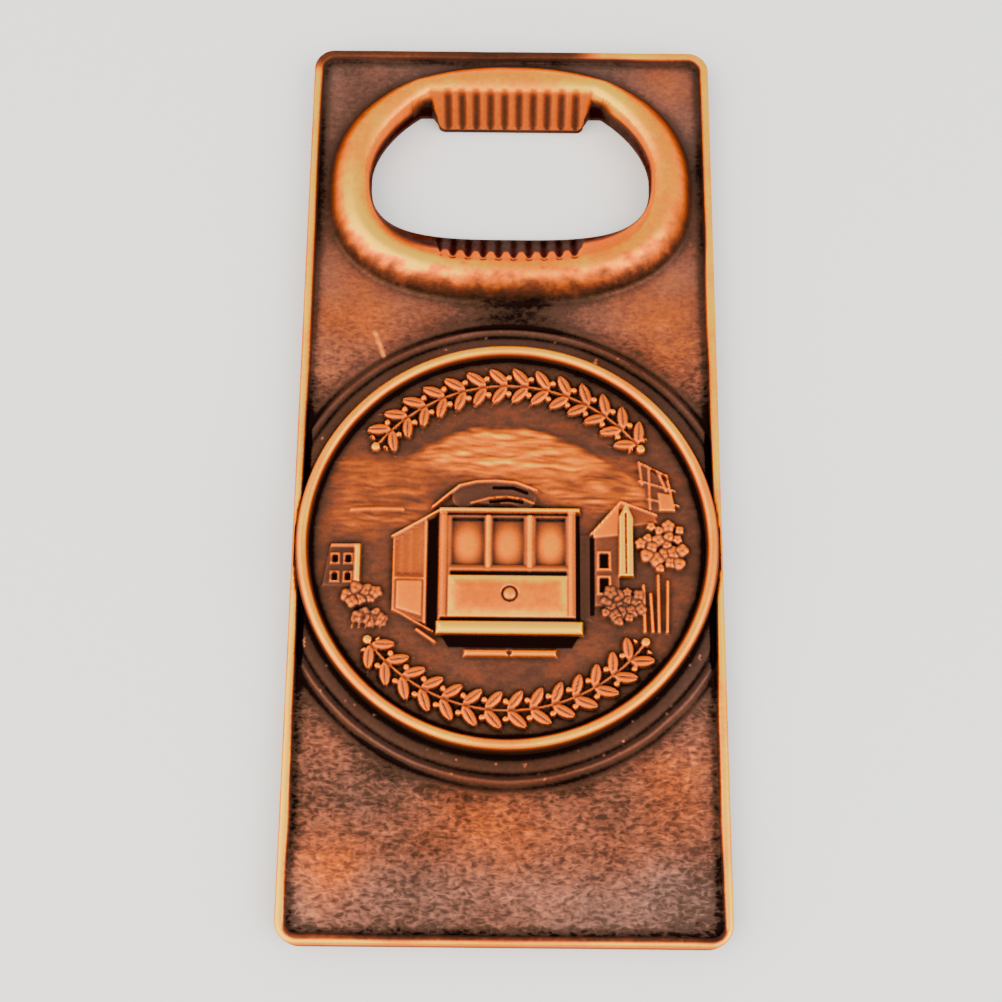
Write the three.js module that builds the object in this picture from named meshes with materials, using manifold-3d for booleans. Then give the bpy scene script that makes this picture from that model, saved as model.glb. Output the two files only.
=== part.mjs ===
// Souvenir bottle opener: a die-cast plate with a raised border, a collared mouth at one end, and a
// round relief medallion glued on a boss. It is one stiff lever, so nothing on it moves.
//
// Millimetres. The origin is the centre of the flat back, +Z comes out of the front face, and +Y
// points to the mouth end.
import * as THREE from "three";
import { mergeVertices } from "three/addons/utils/BufferGeometryUtils.js";
import Module from "manifold-3d";

const wasm = await Module();
wasm.setup();

// ---------------------------------------------------------------------------------------------
// Driving dimensions
// ---------------------------------------------------------------------------------------------

// Plate and border rim.
const BODY_WIDTH = 50;
const BODY_LENGTH = 111;
const PLATE_T = 2.6; // back face to the textured field
const CORNER_R = 2.6;
const RIM_WIDTH = 1.1;
const RIM_RISE = 0.8; // above the field
const EDGE_BREAK = 0.35; // worn-off outer edges, front and back

// Mouth: the hole through the plate. Its widest line is its reference.
const MOUTH_WIDTH = 34.8;
const MOUTH_LINE_FROM_TOP = 17.2; // widest line to the body's top end
const MOUTH_ABOVE = 9.1; // widest line to the hole's flat upper edge
const MOUTH_BELOW = 8.3; // widest line to the hole's lower edge
const MOUTH_ARCH = 1.42; // where the hole's upper curve would peak, as a multiple of MOUTH_ABOVE

// Collar round the mouth.
const COLLAR_RISE = 3.1; // crest above the field
const COLLAR_WIDTH = 4.9; // mouth edge to foot, at the sides
const COLLAR_EDGE_DROP = 0.5; // rounding of the collar's inner edge
const COLLAR_CREST_AT = 0.3; // share of the collar's width between its inner edge and its crest
const FOOT_OFFSET = 1.7; // the foot's widest line lies this far below the mouth's
const FOOT_ABOVE = 17; // the foot's widest line to its upper and lower ends
const FOOT_BELOW = 15.8;
const EDGE_OFFSET = 0.7; // the inner edge's widest line lies this far below the mouth's
const EDGE_ABOVE = 10.9; // the inner edge's widest line to its upper and lower ends
const EDGE_BELOW = 12;
const EDGE_ARCH = 1.28; // where its upper curve would peak, as a multiple of EDGE_ABOVE
const WALL_DRAFT = 0.3; // the mouth opens by this much on each side towards the front

// Ribbed tongue at the top of the mouth and ribbed lip at its bottom.
const TONGUE_ROOT_WIDTH = 20;
const TONGUE_TIP_WIDTH = 18.4;
const TONGUE_REACH = 1.9; // past the hole's upper edge
const TONGUE_TIP_T = 1;
const TONGUE_TIP_R = 0.9;
const LIP_T = 1; // height of the lip's upright edge
const TONGUE_PITCH = 1.79;
const LIP_PITCH = 1.86;
const GROOVE_R = 0.5;
const GROOVES = 10;

// Boss that the medallion sits on, with a fine bead round it.
const BOSS_RISE = 0.4; // above the field
const BOSS_MARGIN = 3.05; // medallion edge to the middle of the bead
const BEAD_WIDTH = 0.7;
const BEAD_RISE = 0.25; // above the boss
const SIDE_GROOVE = 0.5; // between the boss and the side rims

// Medallion and the glue under it.
const MEDAL_DIA = 48.8;
const MEDAL_T = 2.9;
const MEDAL_FROM_FOOT = 45.1; // centre to the body's lower end
const MEDAL_CLEARANCE = 0.3; // round the medallion where it crosses the side rims
const RING_WIDTH = 1.65;
const RING_RISE = 1.4; // above the medallion's field
const GLUE_T = 0.2;
const GLUE_MARGIN = 1.4; // glue edge to medallion edge
const PICTURE_R = 22.75; // radius that the relief picture is drawn for

// Roundness of curved surfaces.
const OVAL_STEPS = 80;
const DISC_STEPS = 96;

// Places that follow from the sizes above.
const TOP_Y = BODY_LENGTH / 2;
const MOUTH_Y = TOP_Y - MOUTH_LINE_FROM_TOP;
const FOOT_Y = MOUTH_Y - FOOT_OFFSET;
const EDGE_Y = MOUTH_Y - EDGE_OFFSET;
const HOLE_TOP_Y = MOUTH_Y + MOUTH_ABOVE;
const EDGE_TOP_Y = EDGE_Y + EDGE_ABOVE;
const MEDAL_Y = MEDAL_FROM_FOOT - TOP_Y;
const MEDAL_R = MEDAL_DIA / 2;
const RIM_Z = PLATE_T + RIM_RISE;
const CREST_Z = PLATE_T + COLLAR_RISE;
const EDGE_Z = CREST_Z - COLLAR_EDGE_DROP;
const SEAT_Z = PLATE_T + BOSS_RISE;
const MEDAL_Z = SEAT_Z + GLUE_T;
const MEDAL_FIELD_Z = MEDAL_Z + MEDAL_T - RING_RISE;
const PANE_Z = MEDAL_FIELD_Z + 0.3; // glass of the streetcar's windows
const BEAD_R = MEDAL_R + BOSS_MARGIN;
const OVERLAP = 0.5; // how far joined solids reach into each other
const PAST = 2; // how far cutting solids reach past what they cut

// Outlines round the mouth: half width, reach above and below the widest line, how square the upper
// and lower halves are (2 is an ellipse), and where the upper half is cut off flat.
const HOLE = {
  y: MOUTH_Y,
  halfWidth: MOUTH_WIDTH / 2,
  above: MOUTH_ABOVE * MOUTH_ARCH,
  below: MOUTH_BELOW,
  powerAbove: 1.8,
  powerBelow: 3.2,
  flat: MOUTH_ABOVE,
};
const INNER_EDGE = {
  y: EDGE_Y,
  halfWidth: MOUTH_WIDTH / 2 + WALL_DRAFT,
  above: EDGE_ABOVE * EDGE_ARCH,
  below: EDGE_BELOW,
  powerAbove: 1.8,
  powerBelow: 3,
  flat: EDGE_ABOVE,
};
const FOOT = {
  y: FOOT_Y,
  halfWidth: MOUTH_WIDTH / 2 + WALL_DRAFT + COLLAR_WIDTH,
  above: FOOT_ABOVE,
  below: FOOT_BELOW,
  powerAbove: 2.2,
  powerBelow: 2.6,
  flat: FOOT_ABOVE,
};

// ---------------------------------------------------------------------------------------------
// Geometry helpers
// ---------------------------------------------------------------------------------------------

// A closed geometry as a solid that can be joined and cut. Collapsed triangles are left out.
function solid(geometry) {
  const bare = geometry.clone();
  bare.deleteAttribute("normal");
  bare.deleteAttribute("uv");
  const merged = mergeVertices(bare, 1e-4);
  const index = merged.index.array;
  const triangles = [];
  for (let i = 0; i < index.length; i += 3) {
    const [a, b, c] = index.slice(i, i + 3);
    if (a !== b && b !== c && c !== a) triangles.push(a, b, c);
  }
  return new wasm.Manifold(
    new wasm.Mesh({
      numProp: 3,
      vertProperties: merged.attributes.position.array,
      triVerts: new Uint32Array(triangles),
    }),
  );
}

function joined(solids) {
  return solids.reduce((all, next) => all.add(next));
}

// A solid as a named mesh.
function mesh(name, body, material) {
  const made = body.getMesh();
  const geometry = new THREE.BufferGeometry();
  geometry.setAttribute("position", new THREE.BufferAttribute(made.vertProperties, 3));
  geometry.setIndex(new THREE.BufferAttribute(made.triVerts, 1));
  geometry.computeVertexNormals();
  const result = new THREE.Mesh(geometry, material);
  result.name = name;
  return result;
}

// Moves every vertex of a geometry to move(x, y, z).
function warp(geometry, move) {
  const position = geometry.attributes.position;
  for (let i = 0; i < position.count; i++) {
    const [x, y, z] = move(position.getX(i), position.getY(i), position.getZ(i));
    position.setXYZ(i, x, y, z);
  }
  return geometry;
}

// A prism: the shape drawn in XY, from z0 up to z1.
function prism(shape, z0, z1) {
  const settings = { depth: z1 - z0, bevelEnabled: false, curveSegments: 6 };
  return solid(new THREE.ExtrudeGeometry(shape, settings).translate(0, 0, z0));
}

function box(x0, x1, y0, y1, z0, z1) {
  const geometry = new THREE.BoxGeometry(x1 - x0, y1 - y0, z1 - z0);
  return solid(geometry.translate((x0 + x1) / 2, (y0 + y1) / 2, (z0 + z1) / 2));
}

// A body of revolution about +Z: the profile is a list of [radius, z], going up the outside.
function turned(profile, steps) {
  const points = profile.map(([r, z]) => new THREE.Vector2(r, z));
  return new THREE.LatheGeometry(points, steps).rotateX(Math.PI / 2);
}

function disc(radius, z0, z1) {
  return solid(turned([[0, z0], [radius, z0], [radius, z1], [0, z1]], DISC_STEPS));
}

function roundedRect(width, height, radius) {
  const shape = new THREE.Shape();
  const x = width / 2 - radius;
  const y = height / 2 - radius;
  shape.absarc(x, y, radius, 0, Math.PI / 2);
  shape.absarc(-x, y, radius, Math.PI / 2, Math.PI);
  shape.absarc(-x, -y, radius, Math.PI, 1.5 * Math.PI);
  shape.absarc(x, -y, radius, 1.5 * Math.PI, 2 * Math.PI);
  return shape;
}

function polygon(points) {
  return new THREE.Shape(points.map(([x, y]) => new THREE.Vector2(x, y)));
}

// The point of an outline round the mouth that lies in the direction of an angle.
function ovalPoint(oval, angle) {
  const c = Math.cos(angle);
  const s = Math.sin(angle);
  const power = s < 0 ? oval.powerBelow : oval.powerAbove;
  const height = s < 0 ? oval.below : oval.above;
  const reach = (Math.abs(c) ** power + Math.abs(s) ** power) ** (-1 / power);
  return [oval.halfWidth * c * reach, oval.y + Math.min(height * s * reach, oval.flat)];
}

function between(a, b, share) {
  return a.map((value, i) => value + (b[i] - value) * share);
}

// ---------------------------------------------------------------------------------------------
// Body
// ---------------------------------------------------------------------------------------------

// The plate with its border: the full outline with broken edges, and the field sunk into it.
function plate() {
  const outline = roundedRect(BODY_WIDTH, BODY_LENGTH, CORNER_R);
  const geometry = new THREE.ExtrudeGeometry(outline, {
    depth: RIM_Z - 2 * EDGE_BREAK,
    curveSegments: 6,
    bevelThickness: EDGE_BREAK,
    bevelSize: EDGE_BREAK,
    bevelOffset: -EDGE_BREAK,
    bevelSegments: 2,
  });
  const inner = roundedRect(
    BODY_WIDTH - 2 * RIM_WIDTH,
    BODY_LENGTH - 2 * RIM_WIDTH,
    CORNER_R - RIM_WIDTH,
  );
  return solid(geometry.translate(0, 0, EDGE_BREAK)).subtract(prism(inner, PLATE_T, RIM_Z + PAST));
}

// Height of the collar above the field, as a share of its rise: 0 is its inner edge, 1 its foot.
function collarRise(share) {
  const edge = COLLAR_EDGE_DROP / COLLAR_RISE;
  if (share < COLLAR_CREST_AT) return 1 - edge * (1 - share / COLLAR_CREST_AT) ** 2;
  return 1 - ((share - COLLAR_CREST_AT) / (1 - COLLAR_CREST_AT)) ** 2;
}

// The collar before the mouth is cut: radius 0 to 1 fills the inner edge, 1 to 2 is the collar.
function collar() {
  const shares = [0.94, 0.82, 0.66, 0.48, COLLAR_CREST_AT, 0.15, 0.05, 0];
  const slope = shares.map((share) => [1 + share, PLATE_T + COLLAR_RISE * collarRise(share)]);
  const low = PLATE_T - OVERLAP;
  const profile = [[0, low], [2, low], [2, PLATE_T], ...slope, [0, EDGE_Z]];
  const geometry = warp(turned(profile, OVAL_STEPS), (x, y, z) => {
    const radius = Math.hypot(x, y);
    const angle = Math.atan2(y, x);
    const edge = ovalPoint(INNER_EDGE, angle);
    const outer = ovalPoint(FOOT, angle);
    const place = radius > 1 ? between(edge, outer, radius - 1) : between([0, EDGE_Y], edge, radius);
    return [...place, z];
  });
  const outline = roundedRect(BODY_WIDTH - RIM_WIDTH, BODY_LENGTH - RIM_WIDTH, CORNER_R);
  return solid(geometry).intersect(prism(outline, 0, CREST_Z + PAST));
}

// The mouth as a cutting solid: the hole's outline up to the lip, sloping out to the collar's edge.
function mouth() {
  const top = CREST_Z + PAST;
  const profile = [[0, -PAST], [1, -PAST], [1, LIP_T], [1, EDGE_Z], [1, top], [0, top]];
  const geometry = warp(turned(profile, OVAL_STEPS), (x, y, z) => {
    const angle = Math.atan2(y, x);
    const opening = Math.min(Math.max((z - LIP_T) / (EDGE_Z - LIP_T), 0), 1);
    const wall = between(ovalPoint(HOLE, angle), ovalPoint(INNER_EDGE, angle), opening);
    const centre = [0, MOUTH_Y];
    return [...between(centre, wall, Math.hypot(x, y)), z];
  });
  return solid(geometry);
}

// Round grooves side by side along a slope that runs from [y, z] to [y, z], in the YZ plane.
function grooves(pitch, [y0, z0], [y1, z1]) {
  const along = new THREE.Vector3(0, y1 - y0, z1 - z0);
  const length = along.length() + 2 * GROOVE_R;
  const turn = new THREE.Quaternion().setFromUnitVectors(new THREE.Vector3(0, 1, 0), along.normalize());
  const cuts = [];
  for (let i = 0; i < GROOVES; i++) {
    const x = (i - (GROOVES - 1) / 2) * pitch;
    const rod = new THREE.CylinderGeometry(GROOVE_R, GROOVE_R, length, 8);
    rod.applyQuaternion(turn).translate(x, (y0 + y1) / 2, (z0 + z1) / 2);
    cuts.push(solid(rod));
  }
  return joined(cuts);
}

// The tongue: its plan outline standing up from the back, under a steep ribbed face.
function tongue() {
  const tipY = HOLE_TOP_Y - TONGUE_REACH;
  const backY = EDGE_TOP_Y + OVERLAP;
  const root = TONGUE_ROOT_WIDTH / 2;
  const tip = TONGUE_TIP_WIDTH / 2;
  const plan = new THREE.Shape();
  plan.moveTo(root, backY);
  plan.lineTo(-root, backY);
  plan.lineTo(-tip, tipY + TONGUE_TIP_R);
  plan.quadraticCurveTo(-tip, tipY, -tip + TONGUE_TIP_R, tipY);
  plan.lineTo(tip - TONGUE_TIP_R, tipY);
  plan.quadraticCurveTo(tip, tipY, tip, tipY + TONGUE_TIP_R);
  const side = polygon([
    [tipY, 0],
    [backY, 0],
    [backY, EDGE_Z],
    [EDGE_TOP_Y, EDGE_Z],
    [tipY, TONGUE_TIP_T],
  ]);
  const width = TONGUE_ROOT_WIDTH + PAST;
  const wedge = new THREE.ExtrudeGeometry(side, { depth: width, bevelEnabled: false });
  const across = new THREE.Matrix4().makeBasis(
    new THREE.Vector3(0, 1, 0),
    new THREE.Vector3(0, 0, 1),
    new THREE.Vector3(1, 0, 0),
  );
  wedge.applyMatrix4(across).translate(-width / 2, 0, 0);
  return prism(plan, 0, CREST_Z)
    .intersect(solid(wedge))
    .subtract(grooves(TONGUE_PITCH, [EDGE_TOP_Y, EDGE_Z], [tipY, TONGUE_TIP_T]));
}

function lipGrooves() {
  const lipY = MOUTH_Y - MOUTH_BELOW;
  const edgeY = EDGE_Y - EDGE_BELOW;
  return grooves(LIP_PITCH, [edgeY, EDGE_Z], [lipY, LIP_T]);
}

// All that lies between the side rims, short of the groove along each.
function betweenRims() {
  const half = BODY_WIDTH / 2 - RIM_WIDTH - SIDE_GROOVE;
  return box(-half, half, -BODY_LENGTH, BODY_LENGTH, 0, RIM_Z + PAST);
}

// The boss and its bead, kept off the side rims by a groove.
function boss() {
  const halfBead = BEAD_WIDTH / 2;
  const low = PLATE_T - OVERLAP;
  const bead = [
    [BEAD_R - halfBead, low],
    [BEAD_R + halfBead, low],
    [BEAD_R + halfBead, SEAT_Z],
    [BEAD_R + halfBead / 2, SEAT_Z + BEAD_RISE],
    [BEAD_R - halfBead / 2, SEAT_Z + BEAD_RISE],
    [BEAD_R - halfBead, SEAT_Z],
    [BEAD_R - halfBead, low],
  ];
  const round = disc(BEAD_R, low, SEAT_Z)
    .add(solid(turned(bead, DISC_STEPS)))
    .translate(0, MEDAL_Y, 0);
  return round.intersect(betweenRims());
}

// Room for the medallion, down to its seat, through whatever it crosses.
function medallionPocket() {
  return disc(MEDAL_R + MEDAL_CLEARANCE, SEAT_Z, CREST_Z + PAST).translate(0, MEDAL_Y, 0);
}

function openerBody() {
  return plate()
    .add(collar())
    .subtract(mouth())
    .add(tongue())
    .subtract(lipGrooves())
    .add(boss())
    .subtract(medallionPocket());
}

// ---------------------------------------------------------------------------------------------
// Medallion
// ---------------------------------------------------------------------------------------------

// The round blank: a flat field inside a rounded ring.
function blank() {
  const crown = MEDAL_Z + MEDAL_T;
  const shoulder = crown - RING_WIDTH / 2;
  const outside = [];
  const steps = 6;
  for (let i = 0; i <= steps; i++) {
    const angle = (Math.PI * i) / steps;
    const radius = MEDAL_R - RING_WIDTH / 2 + (RING_WIDTH / 2) * Math.cos(angle);
    outside.push([radius, shoulder + (crown - shoulder) * Math.sin(angle)]);
  }
  const inner = [MEDAL_R - RING_WIDTH, MEDAL_FIELD_Z];
  const profile = [[0, MEDAL_Z], [MEDAL_R, MEDAL_Z], ...outside, inner, [0, MEDAL_FIELD_Z]];
  return solid(turned(profile, DISC_STEPS));
}

// A raised piece of the picture: the shape in XY about the medallion's centre, and its rise.
function raised(shape, rise) {
  return prism(shape, MEDAL_FIELD_Z - OVERLAP, MEDAL_FIELD_Z + rise);
}

function rect(x0, x1, y0, y1) {
  return polygon([[x0, y0], [x1, y0], [x1, y1], [x0, y1]]);
}

// A flat arched band between two heights over the same half width, as for roofs and hills.
function arch(x, y, halfWidth, rise, thickness) {
  const shape = new THREE.Shape();
  shape.moveTo(x - halfWidth, y);
  shape.quadraticCurveTo(x, y + 2 * rise, x + halfWidth, y);
  shape.lineTo(x + halfWidth, y - thickness);
  shape.quadraticCurveTo(x, y + 2 * rise - thickness, x - halfWidth, y - thickness);
  return shape;
}

// An end-on streetcar with its near side in perspective: panels, windows, roof, bumper and fender.
function streetcar() {
  const panes = [-4.6, 0, 4.6].map((x) => prism(rect(x - 1.9, x + 1.9, -3.2, 2.8), PANE_Z, CREST_Z + PAST));
  const front = raised(rect(-7.4, 7.4, -9.6, 3.6), 0.6).subtract(joined(panes));
  const side = polygon([[-12.9, -8.2], [-8.6, -10.2], [-8.6, 2.9], [-12.9, 0.6]]);
  const eave = polygon([[-13.2, 0.7], [-12.9, 0.1], [-7.9, 3.2], [-7.9, 4.2]]);
  return [
    raised(rect(-7.9, 8.1, -9.8, 4), 0.2),
    front,
    raised(rect(-8, 8.4, 3.45, 4.3), 0.95),
    raised(arch(-2.6, 4.15, 6.2, 2, 0.8), 0.75),
    raised(arch(-0.6, 4.1, 4.2, 1, 0.7), 0.5),
    raised(side, 0.35),
    raised(eave, 0.7),
    raised(rect(-8.1, 8.5, -10.9, -9.3), 1.05),
    raised(rect(-4.9, 5.5, -13.5, -12.7), 0.75),
  ];
}

// Small houses and a tower beside the streetcar.
function houses() {
  return [
    raised(rect(-20.6, -17, -5.2, 0), 0.4),
    raised(polygon([[10, -9.2], [15.6, -9.2], [15.6, 3.2], [13.2, 5.2], [10, 1.4]]), 0.4),
    raised(rect(12.8, 14.3, -4, 4.2), 0.75),
    raised(rect(15.4, 18.8, 4.6, 9), 0.45),
  ];
}

// Clumps of foliage: flattened balls set round a point.
function foliage(x, y, spread, count) {
  const clumps = [];
  for (let i = 0; i < count; i++) {
    const angle = i * 2.4;
    const reach = spread * Math.sqrt(i / count);
    const ball = new THREE.SphereGeometry(1.25, 8, 5);
    ball.rotateX(Math.PI / 2).scale(1, 1, 0.5);
    ball.translate(x + reach * Math.cos(angle), y + reach * Math.sin(angle), MEDAL_FIELD_Z + 0.1);
    clumps.push(solid(ball));
  }
  return clumps;
}

// Long thin clouds over the scene, wider towards its middle.
function clouds() {
  const bands = [];
  for (let i = 0; i < 5; i++) {
    const halfWidth = 13.5 - 2.2 * i;
    bands.push(raised(arch(0, 7 + 1.4 * i, halfWidth, 0.55, 0.8), 0.3));
  }
  return bands;
}

// A garland along an arc about the centre: pairs of leaves on both sides of the arc.
function garland(radius, from, to, pairs) {
  const leaf = polygon([[-0.4, 0], [0.9, -0.45], [1.9, -0.35], [2.6, 0], [1.9, 0.35], [0.9, 0.45]]);
  const leaves = [];
  for (let i = 0; i < pairs; i++) {
    const angle = from + ((to - from) * (i + 0.5)) / pairs;
    for (const side of [-1, 1]) {
      const lean = angle + Math.PI / 2 + side * 0.6;
      leaves.push(
        raised(leaf, 0.5)
          .rotate([0, 0, THREE.MathUtils.radToDeg(lean)])
          .translate(radius * Math.cos(angle), radius * Math.sin(angle), 0),
      );
    }
  }
  return leaves;
}

function picture() {
  const degrees = THREE.MathUtils.degToRad;
  return joined([
    ...streetcar(),
    ...houses(),
    ...foliage(17.6, -0.2, 2.6, 8),
    ...foliage(13, -7.4, 2.2, 6),
    ...foliage(-16, -7.6, 2, 5),
    ...clouds(),
    ...garland(19, degrees(38), degrees(142), 14),
    ...garland(19.4, degrees(218), degrees(322), 14),
  ]);
}

function medallion() {
  const share = (MEDAL_R - RING_WIDTH) / PICTURE_R;
  return blank().add(picture().scale([share, share, 1])).translate(0, MEDAL_Y, 0);
}

// The glue is spread over the boss only, however wide the medallion is.
function adhesiveLayer() {
  return disc(MEDAL_R - GLUE_MARGIN, SEAT_Z, MEDAL_Z).translate(0, MEDAL_Y, 0).intersect(betweenRims());
}

// ---------------------------------------------------------------------------------------------
// Assembly
// ---------------------------------------------------------------------------------------------

const copper = new THREE.MeshStandardMaterial({ color: 0xa65f3c, roughness: 0.5, metalness: 0.9 });
const polished = new THREE.MeshStandardMaterial({ color: 0xc27a45, roughness: 0.4, metalness: 0.9 });
const glue = new THREE.MeshStandardMaterial({ color: 0xd8cfae, roughness: 0.6, metalness: 0 });

const opener = new THREE.Group();
opener.name = "souvenir_bottle_opener";
opener.add(mesh("opener_body", openerBody(), copper));
opener.add(mesh("adhesive_layer", adhesiveLayer(), glue));
opener.add(mesh("medallion", medallion(), polished));

export default opener;
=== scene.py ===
"""Looks of the souvenir bottle opener: an antique-copper casting with a relief medallion on it.

The front of each casting is a height in millimetres over the XY plane. It is sampled on a lattice that
is finer where the relief is, and joined to its sides and back as one closed mesh. The same functions
say how far the patina has been polished off, from 0 in the dark recesses to 1 on the bright high spots,
and in places paint a highlight or shade into that tone.
"""

import math
from typing import NamedTuple

import bpy
import numpy as np
from mathutils import Matrix, Vector
from mathutils.geometry import delaunay_2d_cdt
from mathutils.kdtree import KDTree


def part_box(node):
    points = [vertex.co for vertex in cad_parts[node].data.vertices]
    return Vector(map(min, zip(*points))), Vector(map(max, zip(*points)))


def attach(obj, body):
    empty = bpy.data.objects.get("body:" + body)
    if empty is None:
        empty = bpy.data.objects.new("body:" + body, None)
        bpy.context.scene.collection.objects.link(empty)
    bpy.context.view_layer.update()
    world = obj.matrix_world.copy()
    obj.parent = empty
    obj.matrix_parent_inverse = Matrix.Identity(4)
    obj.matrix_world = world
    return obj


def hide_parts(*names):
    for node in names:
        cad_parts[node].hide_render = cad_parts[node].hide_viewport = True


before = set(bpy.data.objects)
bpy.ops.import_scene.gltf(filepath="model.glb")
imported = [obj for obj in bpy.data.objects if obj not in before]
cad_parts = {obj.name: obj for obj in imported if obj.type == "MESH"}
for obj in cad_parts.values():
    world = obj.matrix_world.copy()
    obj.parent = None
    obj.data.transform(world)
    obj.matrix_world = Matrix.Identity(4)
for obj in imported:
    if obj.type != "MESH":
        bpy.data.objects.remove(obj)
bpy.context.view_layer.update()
MM = 0.001

# -------------------- Sizes, in millimetres

body_low, body_high = [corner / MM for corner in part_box("opener_body")]
medal_low, medal_high = [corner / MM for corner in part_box("medallion")]

# Plate and rim.
HALF_W = body_high.x
HALF_L = body_high.y
PLATE_T = 2.6
CORNER_R = 2.6
RIM_WIDTH = 1.1
RIM_Z = 3.4
EDGE_BREAK = 0.35

# Mouth and collar.
CREST_Z = body_high.z
COLLAR_RISE = CREST_Z - PLATE_T
EDGE_DROP = 0.5
EDGE_Z = CREST_Z - EDGE_DROP
CREST_AT = 0.3
WALL_SLOPE = 0.7
LIP_T = 1.0
MOUTH_Y = HALF_L - 17.2


class Oval(NamedTuple):
    """An outline about x = 0 whose upper and lower halves meet at y and differ.

    It reaches half to each side, and above and below in the powers up and down. It is cut flat at the top.
    """

    y: float
    half: float
    above: float
    below: float
    up: float
    down: float
    flat: float


HOLE = Oval(MOUTH_Y, half=17.4, above=12.92, below=8.3, up=1.8, down=3.2, flat=9.1)
EDGE = Oval(MOUTH_Y - 0.7, half=17.7, above=13.95, below=12.0, up=1.8, down=3.0, flat=10.9)
FOOT = Oval(MOUTH_Y - 1.7, half=22.6, above=17.0, below=15.8, up=2.2, down=2.6, flat=17.0)
HOLE_TOP = HOLE.y + HOLE.flat
EDGE_TOP = EDGE.y + EDGE.flat
EDGE_FOOT = EDGE.y - EDGE.below

# Tongue and lip.
TONGUE_ROOT = 9.9
TONGUE_TIP = 9.25
TONGUE_TIP_Y = HOLE_TOP - 1.9
TONGUE_CORNER = 0.9
TONGUE_PITCH = 1.79
TONGUE_MIDDLE = 0.1
LIP_PITCH = 1.86
LIP_MIDDLE = 0.47
LIP_HALF = 9.5
GROOVE_DEPTH = 0.6

# Boss, bead and medallion.
SEAT_Z = 3.0
MEDAL_Y = (medal_low.y + medal_high.y) / 2
MEDAL_R = medal_high.x
MEDAL_Z = medal_low.z
MEDAL_TOP = medal_high.z
BEAD_R = MEDAL_R + 2.9
BEAD_HALF = 0.32
SIDE_GROOVE = 0.55
RING_WIDTH = 1.65
RING_RISE = 1.4
MEDAL_FIELD = MEDAL_TOP - RING_RISE
HIDDEN_R = MEDAL_R - 1.5

# Spacing of the meshes' points: on the body's front, on its ribs, where the medallion hides it, along its
# rim, mouth, wall and bead, on the medallion's picture, along its ring, and on both backs.
PITCH = 0.26
FINE = 0.15
COARSE = 1.4
ROW = 0.3
MOUTH_ROW = 0.2
WALL_ROW = 0.22
BEAD_ROW = 0.26
MEDAL_PITCH = 0.152
RING_ROW = 0.27
BACK_PITCH = 1.6

# A triangle of a back that is lower than this is dropped.
SLIVER = 0.0005

# Edges that bend more than this, in degrees, stay sharp.
SHARP = 75


# -------------------- Numbers and shapes


def smooth(low, high, value):
    """0 at low, 1 at high, and an S-curve between. High may be below low."""
    t = np.clip((value - low) / (high - low), 0.0, 1.0)
    return t * t * (3 - 2 * t)


def soft_max(a, b, radius):
    """The larger of two heights, with a fillet where they meet."""
    gap = np.clip(1 - np.abs(a - b) / radius, 0, 1)
    return np.maximum(a, b) + gap * gap * radius / 4


def bell(value, middle, width):
    """1 at the middle, falling to nothing on both sides of it."""
    return np.exp(-(((value - middle) / width) ** 2))


def hashed(ix, iy, seed):
    """A random number from 0 to 1 for each whole-number lattice point."""
    n = (ix.astype(np.int64) * 374761393 + iy.astype(np.int64) * 668265263 + seed * 974711) & 0xFFFFFFFF
    n = ((n ^ (n >> 13)) * 1274126177) & 0xFFFFFFFF
    return ((n ^ (n >> 16)) & 0xFFFF) / 65535.0


def noise(x, y, seed):
    """Smooth noise from -1 to 1, with features about 1 across."""
    ix, iy = np.floor(x), np.floor(y)
    fx, fy = x - ix, y - iy
    fx, fy = fx * fx * (3 - 2 * fx), fy * fy * (3 - 2 * fy)
    low = hashed(ix, iy, seed) * (1 - fx) + hashed(ix + 1, iy, seed) * fx
    high = hashed(ix, iy + 1, seed) * (1 - fx) + hashed(ix + 1, iy + 1, seed) * fx
    return 2 * (low * (1 - fy) + high * fy) - 1


def fractal(x, y, seed, octaves=3):
    """Noise with finer noise on it, from about -1 to 1."""
    total = np.zeros_like(x)
    for i in range(octaves):
        turn = 0.6 * i
        u = x * math.cos(turn) - y * math.sin(turn)
        v = x * math.sin(turn) + y * math.cos(turn)
        total += noise(u * 2**i, v * 2**i, seed + i) / 2**i
    return total / 1.6


# Each function from here to stroke gives the distance inside a shape's edge, which is negative outside it.


def plate(x, y):
    """The body's outline, a rectangle with round corners."""
    dx = np.abs(x) - HALF_W + CORNER_R
    dy = np.abs(y) - HALF_L + CORNER_R
    outside = np.hypot(np.maximum(dx, 0), np.maximum(dy, 0))
    return CORNER_R - outside - np.minimum(np.maximum(dx, dy), 0)


def slab(x, y, x0, x1, y0, y1):
    """A rectangle with square corners."""
    return np.minimum(np.minimum(x - x0, x1 - x), np.minimum(y - y0, y1 - y))


def convex(x, y, *corners):
    """A convex shape, whose corners are given anticlockwise."""
    inside = np.full_like(x, 1e3)
    for (ax, ay), (bx, by) in zip(corners, corners[1:] + corners[:1]):
        length = math.hypot(bx - ax, by - ay)
        inside = np.minimum(inside, ((bx - ax) * (y - ay) - (by - ay) * (x - ax)) / length)
    return inside


def stroke(x, y, width, *points):
    """A line of some width with round ends, through two points or more."""
    inside = np.full_like(x, -1e3)
    for (ax, ay), (bx, by) in zip(points, points[1:]):
        dx, dy = bx - ax, by - ay
        t = np.clip(((x - ax) * dx + (y - ay) * dy) / (dx * dx + dy * dy), 0, 1)
        inside = np.maximum(inside, width / 2 - np.hypot(x - ax - t * dx, y - ay - t * dy))
    return inside


def inside_oval(oval, x, y):
    """Whether each point is inside an oval outline."""
    dy = y - oval.y
    power = np.where(dy < 0, oval.down, oval.up)
    height = np.where(dy < 0, oval.below, oval.above)
    gauge = np.abs(x / oval.half) ** power + np.abs(dy / height) ** power
    return (gauge < 1) & (dy < oval.flat)


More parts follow.
